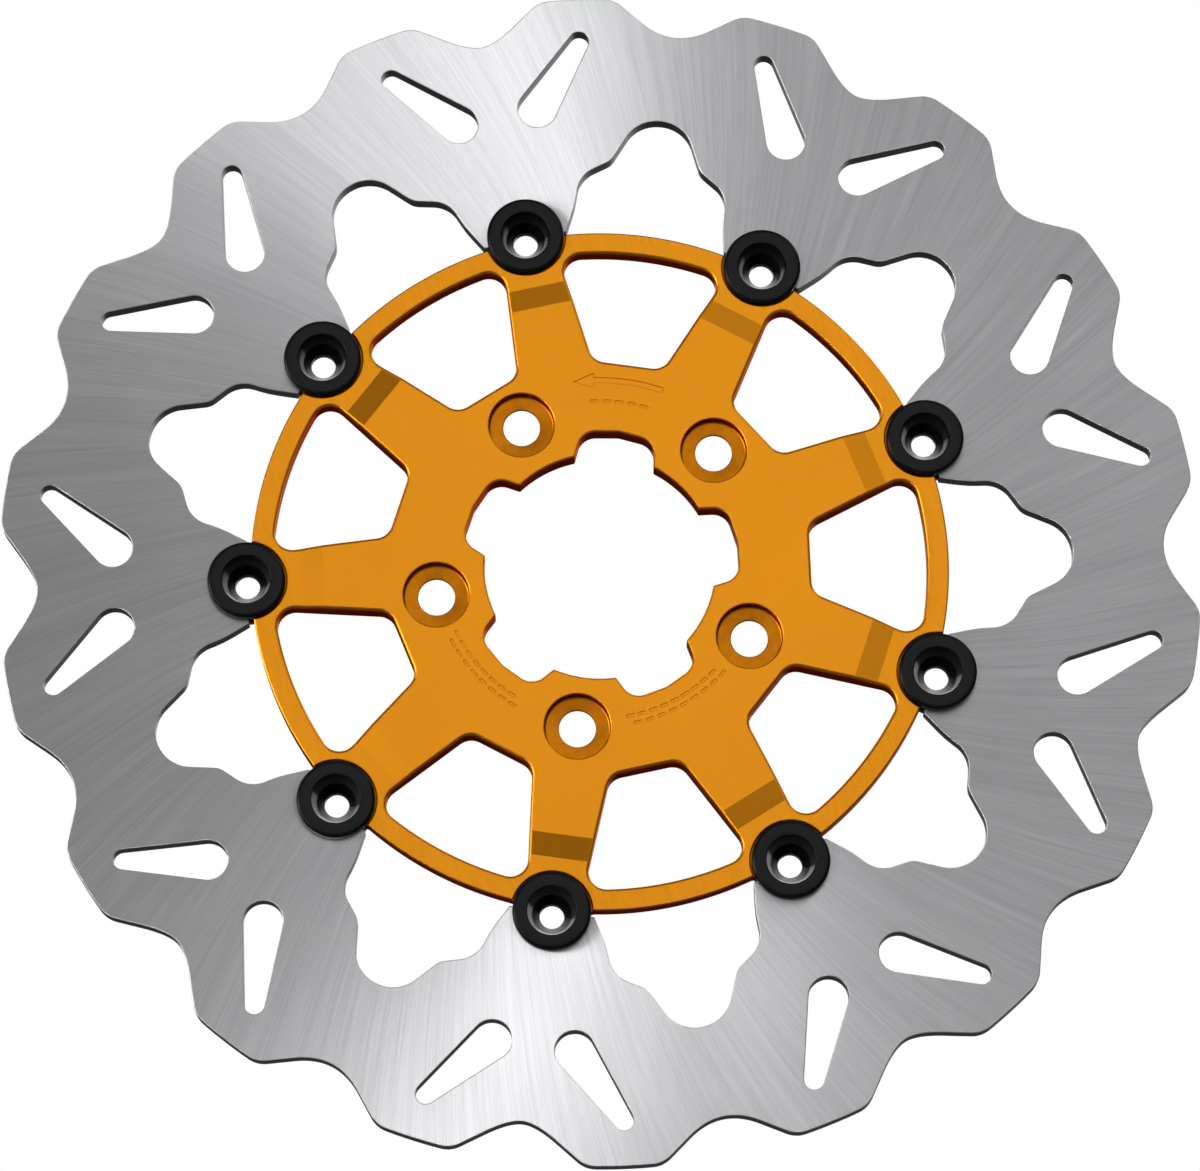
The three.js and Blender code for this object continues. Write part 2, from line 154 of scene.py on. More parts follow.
def filleted(corners, step=5):
    """An open run of corners (x, y, fillet), each fillet drawn as an arc."""
    points = [np.array(c[:2], float) for c in corners]
    out = []
    for i, corner in enumerate(corners):
        radius = corner[2]
        here = points[i]
        if not radius:
            out.append(here)
            continue
        back = unit(points[i - 1] - here)
        ahead = unit(points[i + 1] - here)
        half = math.acos(float(back @ ahead)) / 2
        centre = here + unit(back + ahead) * radius / math.sin(half)
        start = heading(here + back * radius / math.tan(half) - centre)
        end = heading(here + ahead * radius / math.tan(half) - centre)
        sweep = (end - start + 180) % 360 - 180
        out.extend(arc(centre, radius, start, start + sweep, step))
    return np.array(out)


def mirrored(half):
    """A half outline drawn from the mirror line towards +x, joined to its mirror image."""
    rest = half[1:] if abs(half[0][0]) < 1e-9 else half
    return np.concatenate([rest[::-1] * [-1, 1], half])


def area(loop):
    x, y = loop[:, 0], loop[:, 1]
    return 0.5 * float(np.sum(x * np.roll(y, -1) - np.roll(x, -1) * y))


def outer(loop):
    """A loop run so that the material inside it is on its left."""
    return loop if area(loop) > 0 else loop[::-1]


def hole(loop):
    """A loop run so that the material outside it is on its left."""
    return loop if area(loop) < 0 else loop[::-1]


def meet_angle(radius, ring):
    """How far from a station's line a circle round it meets a circle round the axis."""
    cosine = (radius**2 + BOBBIN_CIRCLE**2 - ring**2) / (2 * radius * BOBBIN_CIRCLE)
    return math.degrees(math.acos(cosine))


def round_loop(centre, radius, count):
    return arc(centre, radius, 0, 360, 360 / count)[:-1]


def blade_edge_loop():
    loop = []
    for i in range(2 * STATIONS):
        bottom = STATION_VALLEY if i % 2 == 0 else MIDDLE_VALLEY
        fx, fy = FLANK_POINT
        bend = fx - (fy - bottom) / FLANK_SLOPE
        t = np.linspace(0, 1, 15)[:, None]
        curve = (1 - t) ** 2 * [0, bottom] + 2 * t * (1 - t) * [bend, bottom] + t**2 * [fx, fy]
        corner = polar(BLADE_RADIUS, LOBE_CORNER_ANGLE)
        crown = [polar(BLADE_RADIUS, a) for a in CROWN_ANGLES]
        shoulder = filleted([(fx, fy, 0), (*corner, LOBE_CORNER_FILLET), (*crown[0], 0)], 3)
        half = np.concatenate([curve, shoulder[1:], crown[1:]])
        loop.append(turned(mirrored(half)[1:], DOWN - i * PITCH / 2))
    return outer(np.concatenate(loop))


def blade_inner_loop():
    meet = meet_angle(TAB_END, POCKET)
    tab = polar(TAB_END, PITCH / 2 - meet)
    half = filleted([(0, SCALLOP[0][1], 0), *SCALLOP, (*tab, 0)], 5)
    centre = polar(BOBBIN_CIRCLE, PITCH / 2)
    start = heading(tab - centre)
    end = heading(polar(TAB_END, PITCH / 2 + meet) - centre)
    end -= 360 if end > start else 0
    pocket = arc(centre, POCKET, start, end, 5)
    period = np.concatenate([mirrored(half), pocket[1:-1]])
    return hole(np.concatenate([turned(period, DOWN - (i + 0.5) * PITCH) for i in range(STATIONS)]))


def slot_loop(side):
    a = np.array([side * SLOT_INNER[0], SLOT_INNER[1]])
    b = np.array([side * SLOT_OUTER[0], SLOT_OUTER[1]])
    along = b - a
    ahead = heading(along)
    flank = math.degrees(math.acos((SLOT_INNER[2] - SLOT_OUTER[2]) / np.linalg.norm(along)))
    return np.concatenate([
        arc(a, SLOT_INNER[2], ahead + flank, ahead + 360 - flank, 7),
        arc(b, SLOT_OUTER[2], ahead - flank, ahead + flank, 9),
    ])


def window_loop():
    half_pitch = math.radians(PITCH / 2)

    def on_spoke(along, half_width):
        return np.array([
            along * math.sin(half_pitch) - half_width * math.cos(half_pitch),
            along * math.cos(half_pitch) + half_width * math.sin(half_pitch),
        ])

    a, b = on_spoke(*SPOKE_INNER), on_spoke(*SPOKE_OUTER)
    run = b - a
    foot = a + run * (WINDOW_FLOOR - a[1]) / run[1]
    way = unit(run)
    reach = float(b @ way)
    top = b + way * (math.sqrt(reach**2 + RIM_INNER**2 - float(b @ b)) - reach)
    arch = [(*polar(RIM_INNER, angle), 0) for angle in np.linspace(0, 11, 8)]
    half = filleted([*arch, (*top, WINDOW_FILLET), (*foot, WINDOW_FILLET), (0, WINDOW_FLOOR, 0)], 5)
    return mirrored(half[:-1])


def bore_loop():
    half = filleted([(0, NOTCH, 0), NOTCH_TOP, NOTCH_MOUTH, (*polar(BORE, NOTCH_HALF_ANGLE), 0)], 5)
    notch = mirrored(half)
    land = arc((0, 0), BORE, 90 - NOTCH_HALF_ANGLE, 90 + NOTCH_HALF_ANGLE - BOLT_PITCH, 2)[1:-1]
    period = np.concatenate([notch, land])
    return hole(np.concatenate([turned(period, DOWN - (i + 0.5) * BOLT_PITCH) for i in range(BOLTS)]))


# ---------------------------------------------------------------- surfaces with exact normals

SHARP = math.cos(math.radians(30))
MILLIMETRE = 0.001


class Shell:
    """Faces gathered with a normal at every corner; points at one place are one point."""

    def __init__(self):
        self.index = {}
        self.points = []
        self.faces = []
        self.normals = []
        self.slots = []

    def point(self, x, y, s):
        key = (round(x, 4), round(y, 4), round(s, 4))
        if key not in self.index:
            self.index[key] = len(self.points)
            self.points.append((x, y, s))
        return self.index[key]

    def face(self, corners, normals, slot):
        kept = [k for k in range(len(corners)) if corners[k] != corners[k - 1]]
        if len(kept) > 2:
            self.faces.append([corners[k] for k in kept])
            self.normals.extend([normals[k] for k in kept])
            self.slots.append(slot)

    def build(self, name, materials, body, nodes, slot):
        used = sorted({corner for face in self.faces for corner in face})
        number = {old: new for new, old in enumerate(used)}
        places = [[c * MILLIMETRE for c in (x, -s, y)] for x, y, s in (self.points[i] for i in used)]
        mesh = bpy.data.meshes.new(name)
        mesh.from_pydata(places, [], [[number[corner] for corner in face] for face in self.faces])
        for material in materials:
            mesh.materials.append(material)
        mesh.polygons.foreach_set("material_index", self.slots)
        mesh.polygons.foreach_set("use_smooth", [True] * len(self.faces))
        mesh.normals_split_custom_set([(x, -s, y) for x, y, s in self.normals])
        mesh.update()
        piece = bpy.data.objects.new(name, mesh)
        bpy.context.scene.collection.objects.link(piece)
        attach(piece, body)
        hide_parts(*nodes)
        return piece


def side_normals(points, closed):
    """At every point, the normals of the stretch before and after it, alike where the bend is soft."""
    ahead = np.roll(points, -1, 0) - points
    normal = np.stack([ahead[:, 1], -ahead[:, 0]], 1)
    length = np.linalg.norm(normal, axis=1, keepdims=True)
    after = normal / np.maximum(length, 1e-12)
    if not closed:
        after[-1] = after[-2]
    before = np.roll(after, 1, 0)
    if not closed:
        before[0] = after[0]
    soft = np.sum(before * after, 1) > SHARP
    mean = before + after
    mean /= np.maximum(np.linalg.norm(mean, axis=1, keepdims=True), 1e-12)
    mitre = (before + after) / (1 + np.sum(before * after, 1, keepdims=True))
    return np.where(soft[:, None], mean, before), np.where(soft[:, None], mean, after), mitre


def wall(shell, loop, profile, slot=0, stretches=None, shape=None, weight=None):
    """A band of faces along a loop. The profile runs from front to back as (inset, level) steps,
    the inset measured into the material. shape(points) lowers the steps marked with a third
    value. weight scales the insets point by point, and stretches says which of the loop's
    stretches get faces. Returns where the first and the last row's points are."""
    before, after, mitre = side_normals(loop, True)
    steps = np.array([(-p[0], p[1]) for p in profile], float)
    p_before, p_after, _ = side_normals(steps, False)
    # side_normals turns right of the run; the run goes backwards, so the outside is on its left.
    p_before, p_after = -p_before, -p_after
    scale = np.ones(len(loop)) if weight is None else weight
    rows, places = [], []
    for step in profile:
        place = loop - mitre * (step[0] * scale)[:, None]
        level = np.full(len(loop), float(step[1]))
        if len(step) > 2 and shape is not None:
            level = level + shape(place)
        rows.append([shell.point(x, y, s) for (x, y), s in zip(place, level)])
        places.append(place)
    count = len(loop)
    for k in range(len(profile) - 1):
        for i in range(count):
            if stretches is not None and not stretches[i]:
                continue
            j = (i + 1) % count
            corners = [rows[k][i], rows[k + 1][i], rows[k + 1][j], rows[k][j]]
            normals = []
            for outline, section in (
                (after[i], p_after[k]), (after[i], p_before[k + 1]),
                (before[j], p_before[k + 1]), (before[j], p_after[k]),
            ):
                normals.append((outline[0] * section[0], outline[1] * section[0], section[1]))
            shell.face(corners, normals, slot)
    return places[0], places[-1]


def inset_ring(loop, inset):
    """The loop moved into the material."""
    return loop - side_normals(loop, True)[2] * inset


def inside(points, loops):
    """Which points lie within the loops and outside their holes."""
    hit = np.zeros(len(points), bool)
    x, y = points[:, 0], points[:, 1]
    for loop in loops:
        for (ax, ay), (bx, by) in zip(loop, np.roll(loop, -1, 0)):
            if ay == by:
                continue
            crosses = ((ay > y) != (by > y)) & (x < (bx - ax) * (y - ay) / (by - ay) + ax)
            hit ^= crosses
    return hit


def cap(shell, loops, level, facing, slot=0, shape=None, lines=()):
    """A flat or shaped cover over the region between loops, facing front (+1) or back (-1)."""
    points = np.concatenate(loops)
    edges = []
    start = 0
    for loop in loops:
        n = len(loop)
        edges += [(start + i, start + (i + 1) % n) for i in range(n)]
        start += n
    if len(lines):
        extra = np.array(lines, float).reshape(-1, 2)
        edges += [(start + 2 * i, start + 2 * i + 1) for i in range(len(lines))]
        points = np.concatenate([points, extra])
    result = delaunay_2d_cdt([Vector(p) for p in points], edges, [], 0, 1e-5)
    places = np.array([points[o[0]] if o else tuple(v) for v, o in zip(result[0], result[3])])
    triangles = np.array(result[2])
    middle = places[triangles].mean(1)
    levels = np.full(len(places), float(level))
    if shape is not None:
        levels = levels + shape(places)
    for triangle in triangles[inside(middle, loops)]:
        a, b, c = (np.array([*places[i], levels[i]]) for i in triangle)
        normal = np.cross(b - a, c - a)
        if np.linalg.norm(normal) < 1e-9:
            continue
        order = triangle if normal[2] > 0 else triangle[::-1]
        if facing < 0:
            order = order[::-1]
        normal = normal / np.linalg.norm(normal) * (facing if normal[2] > 0 else -facing)
        corners = [shell.point(*places[i], levels[i]) for i in order]
        shell.face(corners, [tuple(normal)] * 3, slot)


def rounding(size, level, steps=3, mark=False):
    """The profile of a rounded front edge, from the cover down to the wall."""
    tail = (1,) if mark else ()
    out = []
    for a in np.linspace(0, math.pi / 2, steps + 1):
        out.append((size * (1 - math.sin(a)), level - size * (1 - math.cos(a)), *tail))
    return out


def rounding_back(size, level, steps=2):
    out = []
    for a in np.linspace(math.pi / 2, 0, steps + 1):
        out.append((size * (1 - math.sin(a)), level + size * (1 - math.cos(a))))
    return out


def revolved(shell, centre, section, count, slot=0, start=0.0):
    """A closed ring turned round a station: section runs as (radius, level), material on its left."""
    section = np.asarray(section, float)
    before, after, _ = side_normals(section, True)
    angles = np.linspace(0, 2 * math.pi, count, endpoint=False) + start
    way = np.stack([np.cos(angles), np.sin(angles)], 1)
    rows = [
        [shell.point(centre[0] + r * wx, centre[1] + r * wy, s) for r, s in section] for wx, wy in way
    ]
    n = len(section)
    for a in range(count):
        b = (a + 1) % count
        for i in range(n):
            j = (i + 1) % n
            corners = [rows[a][i], rows[b][i], rows[b][j], rows[a][j]]
            normals = []
            for w, side in ((a, after[i]), (b, after[i]), (b, before[j]), (a, before[j])):
                normals.append((way[w][0] * side[0], way[w][1] * side[0], side[1]))
            shell.face(corners, normals, slot)


# ---------------------------------------------------------------- material nodes

class Tree:
    """A material's node tree, built up by calls that return output sockets."""

    def __init__(self, name):
        self.material = bpy.data.materials.new(name)
        self.material.use_nodes = True
        self.tree = self.material.node_tree
        self.tree.nodes.clear()

    def add(self, kind, settings=None, output=0, **inputs):
        node = self.tree.nodes.new("ShaderNode" + kind)
        for key, value in (settings or {}).items():
            setattr(node, key, value)
        for key, value in inputs.items():
            numbered = key[0] == "i" and key[1:].isdigit()
            self.feed(node, int(key[1:]) if numbered else key.replace("_", " "), value)
        return node.outputs[output]

    def feed(self, node, key, value):
        socket = node.inputs[key]
        if isinstance(value, bpy.types.NodeSocket):
            self.tree.links.new(value, socket)
        else:
            socket.default_value = value

    def math(self, operation, a, b=0.0, c=0.0, clamp=False):
        return self.add("Math", {"operation": operation, "use_clamp": clamp}, i0=a, i1=b, i2=c)

    def span(self, value, low, high, to_low=0.0, to_high=1.0):
        node = self.tree.nodes.new("ShaderNodeMapRange")
        node.clamp = True
        keys = ("Value", "From Min", "From Max", "To Min", "To Max")
        for key, v in zip(keys, (value, low, high, to_low, to_high)):
            self.feed(node, key, v)
        return node.outputs[0]

    def mix(self, factor, a, b):
        node = self.tree.nodes.new("ShaderNodeMix")
        node.data_type = "RGBA"
        self.feed(node, 0, factor)
        self.feed(node, 6, a)
        self.feed(node, 7, b)
        return node.outputs[2]

    def place(self):
        """Position on the object, in millimetres, as separate x, y and z."""
        where = self.add("TexCoord", output=3)
        node = self.tree.nodes.new("ShaderNodeSeparateXYZ")
        self.tree.links.new(where, node.inputs[0])
        return [self.math("MULTIPLY", node.outputs[i], 1000.0) for i in range(3)]

    def vector(self, x, y, z):
        return self.add("CombineXYZ", i0=x, i1=y, i2=z)

    def scaled(self, *pairs):
        """A vector of three values, each multiplied by its own number."""
        return self.vector(*(self.math("MULTIPLY", value, by) for value, by in pairs))

    def sum_of(self, a, by_a, b, by_b):
        return self.math("ADD", self.math("MULTIPLY", a, by_a), self.math("MULTIPLY", b, by_b))

    def noise(self, vector, scale=1.0, detail=2.0, roughness=0.5):
        return self.add("TexNoise", Vector=vector, Scale=scale, Detail=detail, Roughness=roughness)

    def finish(self, **inputs):
        shader = self.tree.nodes.new("ShaderNodeBsdfPrincipled")
        for key, value in inputs.items():
            self.feed(shader, key.replace("_", " "), value)
        out = self.tree.nodes.new("ShaderNodeOutputMaterial")
        self.tree.links.new(shader.outputs[0], out.inputs[0])
        return self.material


def around(tree, x, z):
    """Radius and the unit vector from the disc's axis."""
    square = tree.math("ADD", tree.math("MULTIPLY", x, x), tree.math("MULTIPLY", z, z))
    radius = tree.math("MAXIMUM", tree.math("SQRT", square), 0.001)
    return radius, tree.math("DIVIDE", x, radius), tree.math("DIVIDE", z, radius)


def swirl(tree, radius, cx, cz, slant):
    """The direction from the axis, turned with the logarithm of the radius, so that lines of
    constant direction run outwards at a slant."""
    growth = tree.math("LOGARITHM", tree.math("DIVIDE", radius, 100.0), math.e)
    turn = tree.math("MULTIPLY", growth, -math.tan(math.radians(slant)))
    c, s = tree.math("COSINE", turn), tree.math("SINE", turn)
    u = tree.math("SUBTRACT", tree.math("MULTIPLY", cx, c), tree.math("MULTIPLY", cz, s))
    v = tree.math("ADD", tree.math("MULTIPLY", cx, s), tree.math("MULTIPLY", cz, c))
    return u, v


GRINDING_SLANT = 16.0
CROSSING_SLANT = -9.0


def ground_steel():
    """The blade's ground faces: fine and broad scratches one way and a few across them."""
    t = Tree("ground_steel")
    x, y, z = t.place()
    radius, cx, cz = around(t, x, z)

    def scratches(slant, across, along, detail, roughness):
        u, v = swirl(t, radius, cx, cz, slant)
        return t.noise(t.scaled((u, across), (v, across), (radius, along)), 1.0, detail, roughness)

    fine = scratches(GRINDING_SLANT, 520.0, 0.035, 3.0, 0.6)
    broad = scratches(GRINDING_SLANT, 70.0, 0.012, 4.0, 0.62)
    cross = scratches(CROSSING_SLANT, 420.0, 0.05, 2.0, 0.6)
    cloud = t.noise(t.vector(x, y, z), 0.02, 2.0, 0.5)
    lines = t.math("ADD", t.math("MULTIPLY", fine, 0.6), t.sum_of(broad, 0.3, cross, 0.1))
    tone = t.span(lines, 0.38, 0.62, 0.0, 1.0)
    colour = t.mix(tone, (0.505, 0.507, 0.522, 1), (0.615, 0.617, 0.63, 1))
    rough = t.math("ADD", t.span(lines, 0.4, 0.6, 0.51, 0.47), t.span(cloud, 0.3, 0.7, -0.015, 0.015))
    # The highlight stretches along the tangent, so the tangent lies across the grinding lines.
    a = math.radians(GRINDING_SLANT + 90)
    tx = t.sum_of(cx, math.cos(a), cz, -math.sin(a))
    tz = t.sum_of(cz, math.cos(a), cx, math.sin(a))
    bump = t.add("Bump", Strength=0.10, Distance=0.00005, Height=lines)
    tangent = t.vector(tx, 0.0, tz)
    return t.finish(
        Base_Color=colour, Metallic=1.0, Roughness=rough, Anisotropic=0.94, Tangent=tangent, Normal=bump,
    )


def cut_steel_painted_shade():
    """The blade's cut edges: darker than the ground faces as painted shade, with faint ridges through the
    thickness.
    """
    t = Tree("cut_steel_painted_shade")
    x, y, z = t.place()
    ridges = t.noise(t.scaled((x, 2.2), (y, 0.25), (z, 2.2)), 1.0, 3.0, 0.6)
    # The very dark colour is painted shade on the walls, standing in for the dark surroundings they reflect.
    colour = t.mix(t.span(ridges, 0.35, 0.65), (0.030, 0.030, 0.035, 1), (0.075, 0.075, 0.085, 1))
    bump = t.add("Bump", Strength=0.3, Distance=0.0001, Height=ridges)
    return t.finish(Base_Color=colour, Metallic=1.0, Roughness=0.40, Normal=bump)


BRUSHING_ANGLE = 24
BRUSHED_FROM = 75.5
BRUSHED_FULL = 78.0


def gold_anodise():
    """The carrier's faces: fine grain on the body, brushed on the rim."""
    t = Tree("gold_anodise")
    x, y, z = t.place()
    radius = around(t, x, z)[0]
    grain = t.noise(t.vector(x, y, z), 3.2, 3.0, 0.65)
    cloud = t.noise(t.vector(x, y, z), 0.03, 3.0, 0.5)
    a = math.radians(BRUSHING_ANGLE)
    across = t.sum_of(x, math.cos(a), z, math.sin(a))
    along = t.sum_of(z, math.cos(a), x, -math.sin(a))
    brushed = t.noise(t.scaled((across, 3.0), (y, 0.3), (along, 0.16)), 1.0, 3.0, 0.6)
    on_rim = t.span(radius, BRUSHED_FROM, BRUSHED_FULL)
    texture = t.add("Mix", {"data_type": "FLOAT"}, i0=on_rim, i2=grain, i3=brushed)
    tone = t.math("ADD", t.span(texture, 0.3, 0.7, -0.35, 0.35), t.span(cloud, 0.3, 0.7, -0.2, 0.2))
    colour = t.mix(t.span(tone, -0.6, 0.6), (0.540, 0.198, 0.0080, 1), (0.605, 0.226, 0.0095, 1))
    bump = t.add("Bump", Strength=0.05, Distance=0.00006, Height=texture)
    rough = t.span(texture, 0.3, 0.7, 0.36, 0.31)
    return t.finish(
        Base_Color=colour, Metallic=0.9, Roughness=rough, Specular_Tint=(0.80, 0.30, 0.03, 1), Normal=bump,
    )


def gold_cut_painted_shade():
    """Milled walls of the carrier, with cutter steps along the wall, coloured darker than the faces as
    painted shade.
    """
    t = Tree("gold_cut_painted_shade")
    x, y, z = t.place()
    steps = t.noise(t.scaled((x, 0.5), (y, 3.0), (z, 0.5)), 1.0, 2.0, 0.6)
    # Darker than the faces' gold: painted shade on the walls.
    colour = t.mix(t.span(steps, 0.35, 0.65), (0.40, 0.125, 0.0035, 1), (0.46, 0.150, 0.0045, 1))
    bump = t.add("Bump", Strength=0.2, Distance=0.00005, Height=steps)
    return t.finish(
        Base_Color=colour, Metallic=1.0, Roughness=0.34, Specular_Tint=(0.55, 0.10, 0.01, 1), Normal=bump,
    )


def black_anodise():
    t = Tree("black_anodise")
    x, y, z = t.place()
    grain = t.noise(t.vector(x, y, z), 6.0, 2.0, 0.6)
    colour = t.mix(grain, (0.0035, 0.0038, 0.0045, 1), (0.006, 0.0065, 0.0075, 1))
    bump = t.add("Bump", Strength=0.05, Distance=0.00003, Height=grain)
    rough = t.span(grain, 0.3, 0.7, 0.20, 0.26)
    return t.finish(Base_Color=colour, Metallic=0.0, Roughness=rough, Specular_IOR_Level=0.09, Normal=bump)


def turned_metal(name, dark, light, roughness, scale=2.5):
    t = Tree(name)
    x, y, z = t.place()
    grain = t.noise(t.vector(x, y, z), scale, 4.0, 0.6)
    colour = t.mix(t.span(grain, 0.3, 0.7), (*dark, 1), (*light, 1))
    bump = t.add("Bump", Strength=0.1, Distance=0.00004, Height=grain)
    rough = t.span(grain, 0.3, 0.7, roughness - 0.05, roughness + 0.05)
    return t.finish(Base_Color=colour, Metallic=1.0, Roughness=rough, Normal=bump)


STEEL_FACE = ground_steel()
STEEL_EDGE = cut_steel_painted_shade()
GOLD_FACE = gold_anodise()
GOLD_EDGE = gold_cut_painted_shade()
BLACK = black_anodise()
ZINC = turned_metal("zinc_plate", (0.42, 0.43, 0.45), (0.56, 0.57, 0.58), 0.3)
SPRING = turned_metal("spring_steel", (0.16, 0.17, 0.20), (0.26, 0.26, 0.28), 0.35)
PHOSPHATE = turned_metal("phosphated_steel", (0.02, 0.02, 0.023), (0.05, 0.05, 0.052), 0.45)

# ---------------------------------------------------------------- brake blade


def make_blade():
    shell = Shell()
    loops = [blade_edge_loop(), blade_inner_loop()]
    for i in range(STATIONS):
        for side in (-1, 1):
            loops.append(turned(hole(slot_loop(side)), DOWN - i * PITCH))
    front, back = [], []
    for loop in loops:
        f, _ = wall(shell, loop, rounding(BLADE_EDGE, BLADE_FRONT), slot=0)
        wall(shell, loop, [(0, BLADE_FRONT - BLADE_EDGE), (0, BLADE_BACK + BLADE_EDGE)], slot=1)
        _, b = wall(shell, loop, rounding_back(BLADE_EDGE, BLADE_BACK), slot=0)
        front.append(f)
        back.append(b)
    cap(shell, front, BLADE_FRONT, 1)
    cap(shell, back, BLADE_BACK, -1)
    materials = [STEEL_FACE, STEEL_EDGE]
    return shell.build("brake_blade_surface", materials, "blade", ["brake_blade"], "blade_steel")


# ---------------------------------------------------------------- carrier

RIM_EDGE = 0.35
WINDOW_EDGE = 0.7
BORE_EDGE = 0.5
BACK_EDGE = 0.3
PAD_EDGE = 0.2
SEAT_EDGE = 0.3
MARK_DEPTH = 0.2
MARK_EDGE = 0.05
MARK_DRAFT = 0.08
SPOKE_REACH = 14
SPOT_CORNER = meet_angle(RIM_OUTER, SPOT_FACE)
POCKET_CORNER = meet_angle(RIM_OUTER, POCKET)


def front_drop(points):
    """How far the carrier's front lies below the body's face: the ramps and the rim."""
    angles = np.radians(DOWN + np.arange(STATIONS) * PITCH)
    out = np.max(points @ np.stack([np.cos(angles), np.sin(angles)]), 1)
    return -np.clip((out - RAMP_TOP) / (RAMP_FOOT - RAMP_TOP), 0, 1) * (BODY_FRONT - RIM_FRONT)


def crescent_parts(angle):
    """One station's land behind the spot face: its inner arc, then the run along the pocket."""
    centre = np.array([0.0, BOBBIN_CIRCLE])
    corners = [polar(RIM_OUTER, -SPOT_CORNER), polar(RIM_OUTER, SPOT_CORNER)]
    start, end = heading(corners[0] - centre) % 360, heading(corners[1] - centre) % 360
    end += 360 if end < start else 0
    inner = arc(centre, SPOT_FACE, start, end, 4)
    tips = [polar(RIM_OUTER, POCKET_CORNER), polar(RIM_OUTER, -POCKET_CORNER)]
    first, last = heading(tips[0] - centre) % 360, heading(tips[1] - centre) % 360
    first += 360 if first < last else 0
    pocket = arc(centre, POCKET, first, last, 5)
    land = [polar(RIM_OUTER, a) for a in np.linspace(SPOT_CORNER, POCKET_CORNER, 4)[1:-1]]
    far = [point * [-1, 1] for point in land[::-1]]
    return turned(inner, angle), turned(np.concatenate([land, pocket, far]), angle)


def ramp_points(loop, inset):
    """The loop with points added where its front edge crosses the ends of the ramps."""
    out = []
    for point, following in zip(loop, np.roll(loop, -1, 0)):
        run = following - point
        edge = point - unit(np.array([run[1], -run[0]])) * inset
        cuts = []
        for station in range(STATIONS):
            a = math.radians(DOWN + station * PITCH)
            way, side = np.array([math.cos(a), math.sin(a)]), np.array([-math.sin(a), math.cos(a)])
            if point @ way < WINDOW_FLOOR or abs(point @ side) > SPOKE_REACH or abs(run @ way) < 1e-9:
                continue
            cuts += [(reach - edge @ way) / (run @ way) for reach in (RAMP_TOP, RAMP_FOOT)]
        out.append(point)
        out.extend(point + run * cut for cut in sorted(cuts) if 0.01 < cut < 0.99)
    return np.array(out)


def ramp_lines(edges):
    """A line across every spoke at the top and at the foot of its ramp."""
    lines = []
    points = np.concatenate(edges)
    for station in range(STATIONS):
        a = math.radians(DOWN + station * PITCH)
        way, side = np.array([math.cos(a), math.sin(a)]), np.array([-math.sin(a), math.cos(a)])
        for reach in (RAMP_TOP, RAMP_FOOT):
            near = points[(abs(points @ way - reach) < 1e-3) & (abs(points @ side) < SPOKE_REACH)]
            near = near[np.argsort(near @ side)]
            if len(near) >= 2:
                lines.append((near[0], near[-1]))
    return lines


def mark_loops():
    """Shallow plain marks in the body's face: an arrow, and rows of dashes at (angle, count, radius)."""
    loops = []

    def bar(radius, angle, width, height):
        w, h = width / 2, height / 2
        corners = [(-w, -h), (w, -h), (w, h), (-w, h)]
        run = [(*corners[-1], 0)] + [(*c, 0.2) for c in corners] + [(*corners[0], 0)]
        loops.append(turned(filleted(run, 30)[1:-1] + [0, radius], angle))

    width, height = 2.1, 0.7
    for start, count, radius in ((214, 8, 40.4), (289, 9, 39.9)):
        for k in range(count):
            for row in (-1, 1):
                bar(radius + row, start + (k + (row > 0) / 2) * 4.3, width, height)
    for k in range(5):
        bar(42.6, 91 + (k - 2) * 4.2, width, height)
    shaft = np.radians(np.linspace(78.5, 99.5, 12))
    inner, outer_edge = 47.3, 48.7
    head = [(49.9, 99.5), (48.0, 105.5), (46.1, 99.5)]
    arrow = [(outer_edge * math.cos(a), outer_edge * math.sin(a)) for a in shaft]
    arrow += [(r * math.cos(math.radians(a)), r * math.sin(math.radians(a))) for r, a in head]
    arrow += [(inner * math.cos(a), inner * math.sin(a)) for a in shaft[::-1]]
    loops.append(np.array(arrow))
    return [hole(loop) for loop in loops]


